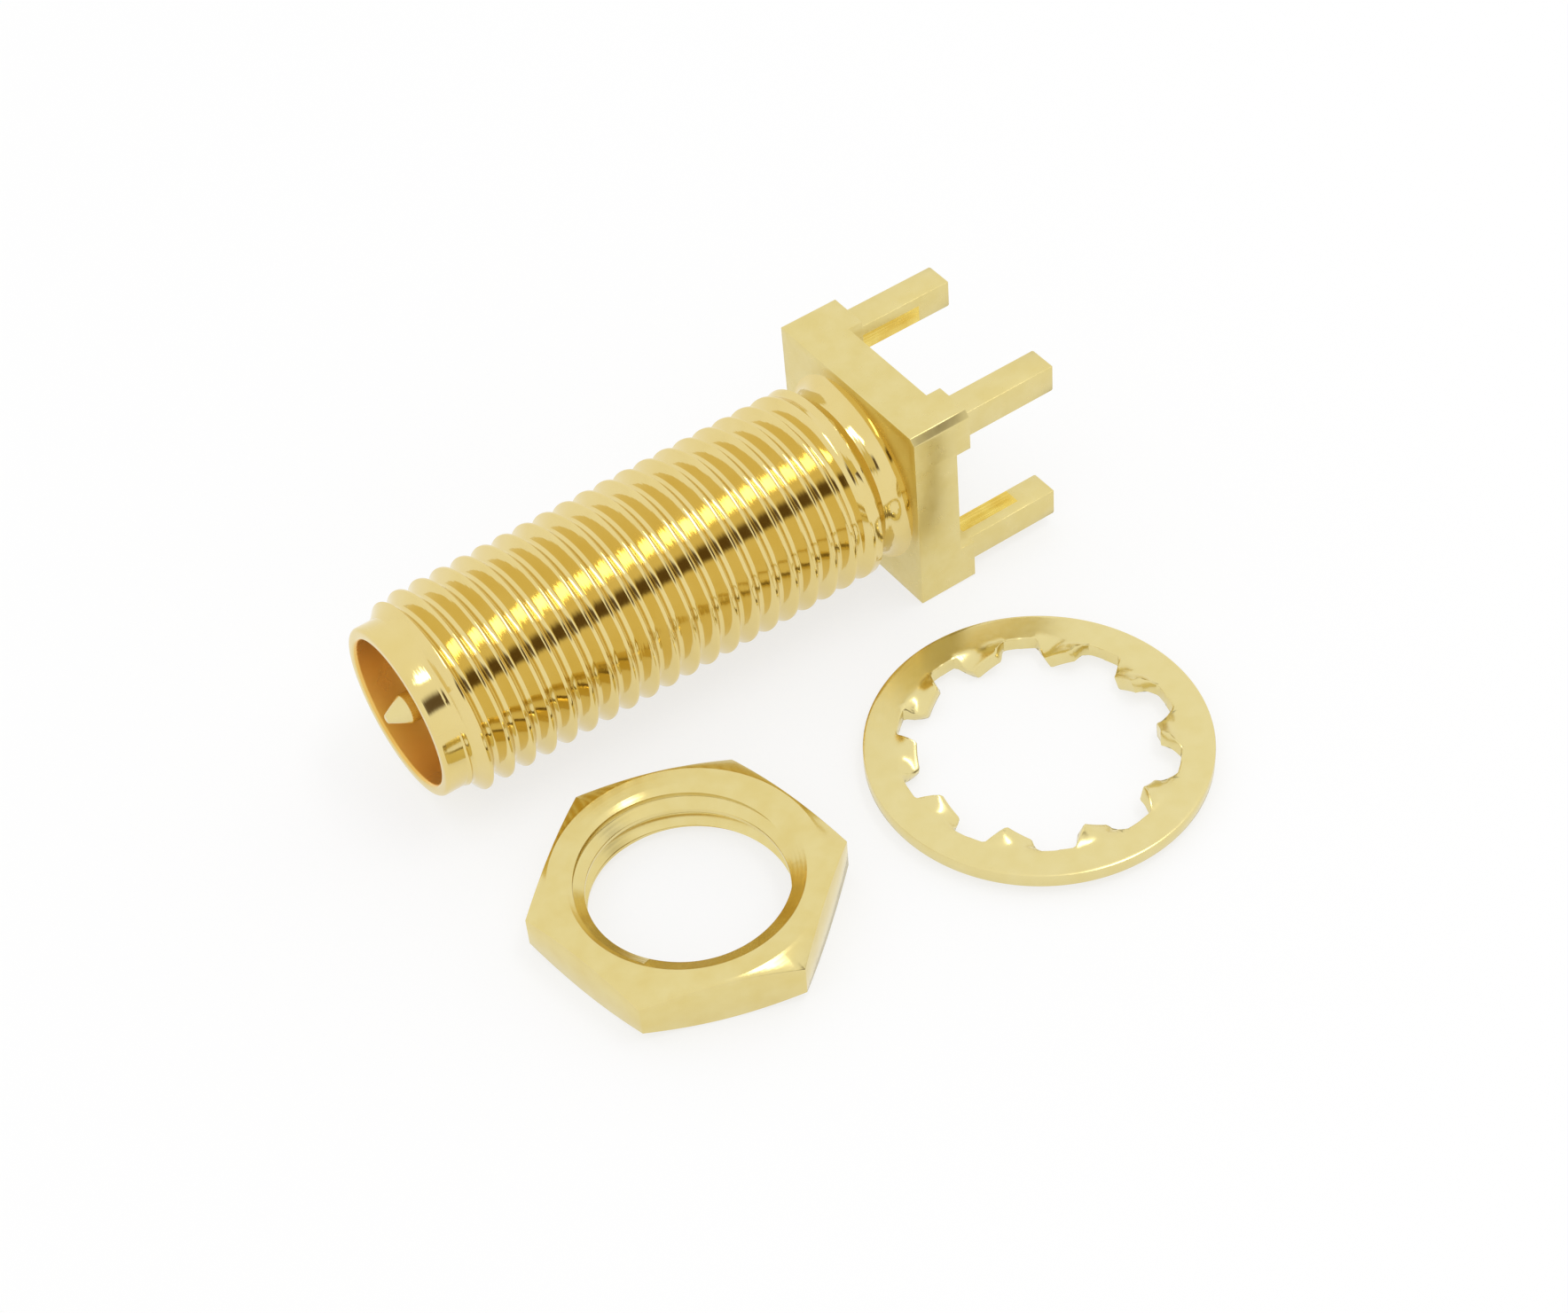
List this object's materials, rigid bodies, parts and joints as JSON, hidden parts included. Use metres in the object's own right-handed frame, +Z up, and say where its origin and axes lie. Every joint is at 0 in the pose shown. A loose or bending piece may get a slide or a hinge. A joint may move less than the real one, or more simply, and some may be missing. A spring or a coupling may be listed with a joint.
{
  "type": "sma connector",
  "caption": "Coaxial board connector lying on its side: threaded barrel with a centre pin, square flange and legs, with its hex nut and toothed lock washer loose beside it.",
  "frame": {"origin": "centre of the base of the whole set, on the surface that the connector, nut and washer lie on", "axes": "+X from the barrel's front towards its legs, +Z up, nut and washer on the -Y side"},
  "size_m": [0.022, 0.0188, 0.0067],
  "materials": {
    "housing_plating": "polished gold plating over brass",
    "insulator_plastic": "waxy white fluoropolymer",
    "contact_plating": "polished gold plating over brass",
    "nut_plating": "satin gold plating over brass",
    "washer_plating": "satin gold plating over bronze"
  },
  "bodies": {
    "root": {"housing": "housing_plating", "insulator": "insulator_plastic", "centre_contact": "contact_plating", "hex_nut": "nut_plating", "lock_washer": "washer_plating"}
  },
  "joints": []
}
